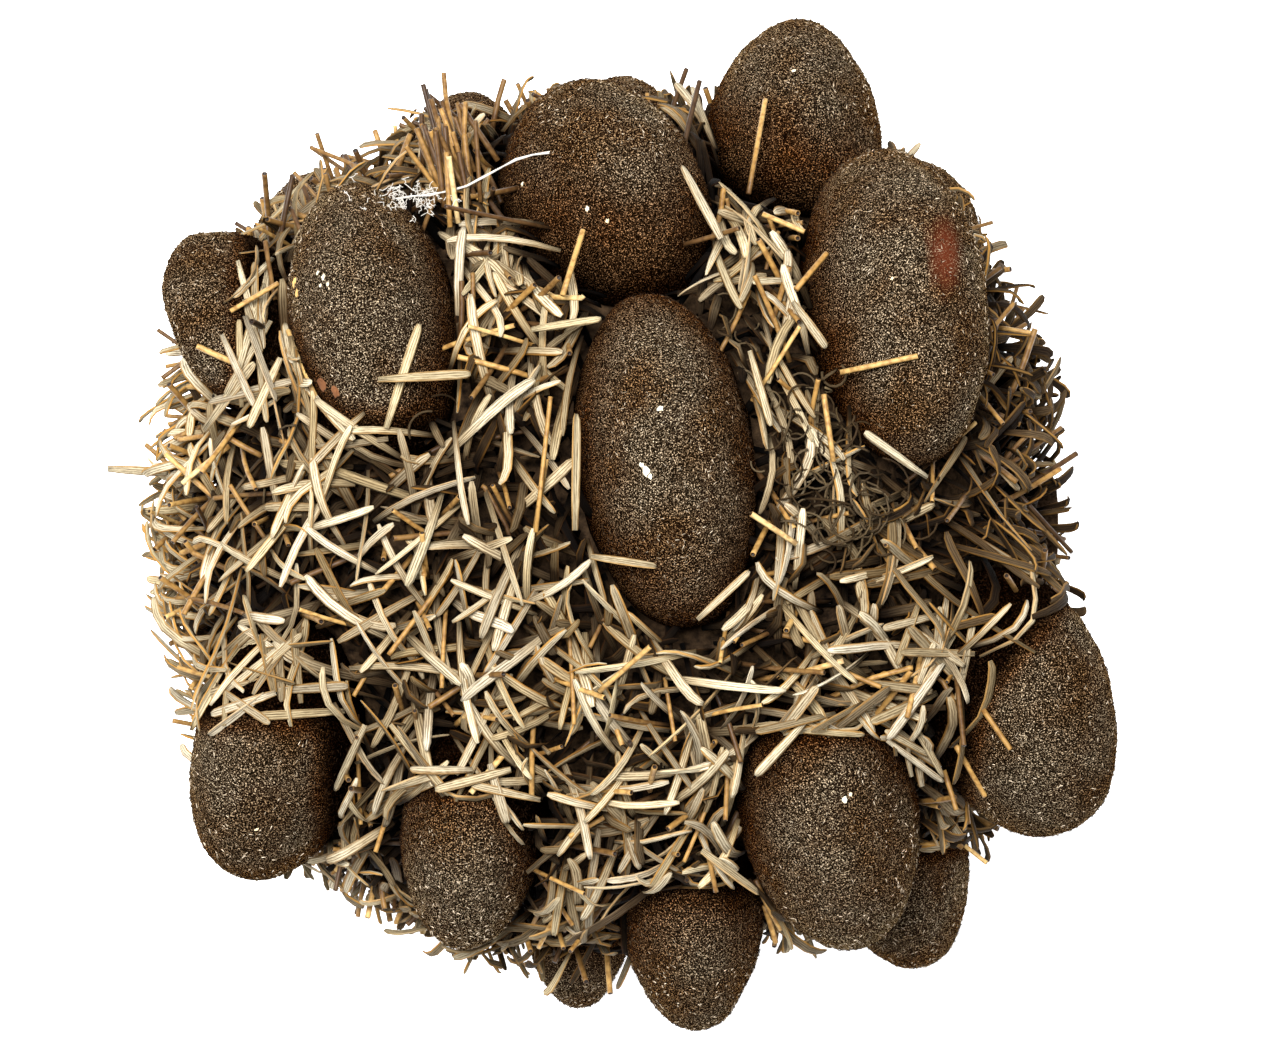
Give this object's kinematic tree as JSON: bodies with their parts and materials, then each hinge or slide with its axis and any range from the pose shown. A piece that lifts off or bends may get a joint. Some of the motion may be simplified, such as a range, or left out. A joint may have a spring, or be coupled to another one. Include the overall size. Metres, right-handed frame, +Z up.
{
  "type": "banksia cone",
  "caption": "Dry globular seed cone on its side: closed felted oval follicles bulging from a shaggy head of flat strap and wiry florets on a woody spike with a short cut stalk.",
  "frame": {"origin": "bottom centre of the cone's box, on the surface that it lies on", "axes": "+X along the spike towards the cut stalk, +Z up, +Y across the spike; the long sides of the follicles run round X"},
  "size_m": [0.1058, 0.111, 0.106],
  "materials": {
    "dry_florets": "dry grey-tan straw-like straps, fibrous, matt, amber along thin edges",
    "styles": "dry ochre to golden wires, slightly shiny, with broken ends",
    "follicle_felt": "dark brown woody wall under dense short velvety hairs, flecked tan and grey",
    "spike_wood": "rough dark brown wood, pale tan where the stalk is cut"
  },
  "bodies": {
    "root": {"flower_head": "dry_florets", "follicle_01": "follicle_felt", "follicle_02": "follicle_felt", "follicle_03": "follicle_felt", "follicle_04": "follicle_felt", "follicle_05": "follicle_felt", "follicle_06": "follicle_felt", "follicle_07": "follicle_felt", "follicle_08": "follicle_felt", "follicle_09": "follicle_felt", "follicle_10": "follicle_felt", "follicle_11": "follicle_felt", "follicle_12": "follicle_felt", "follicle_13": "follicle_felt", "follicle_14": "follicle_felt", "follicle_15": "follicle_felt", "follicle_16": "follicle_felt", "follicle_17": "follicle_felt", "follicle_18": "follicle_felt", "follicle_19": "follicle_felt", "follicle_20": "follicle_felt", "follicle_21": "follicle_felt", "follicle_22": "follicle_felt", "follicle_23": "follicle_felt", "follicle_24": "follicle_felt"}
  },
  "joints": []
}
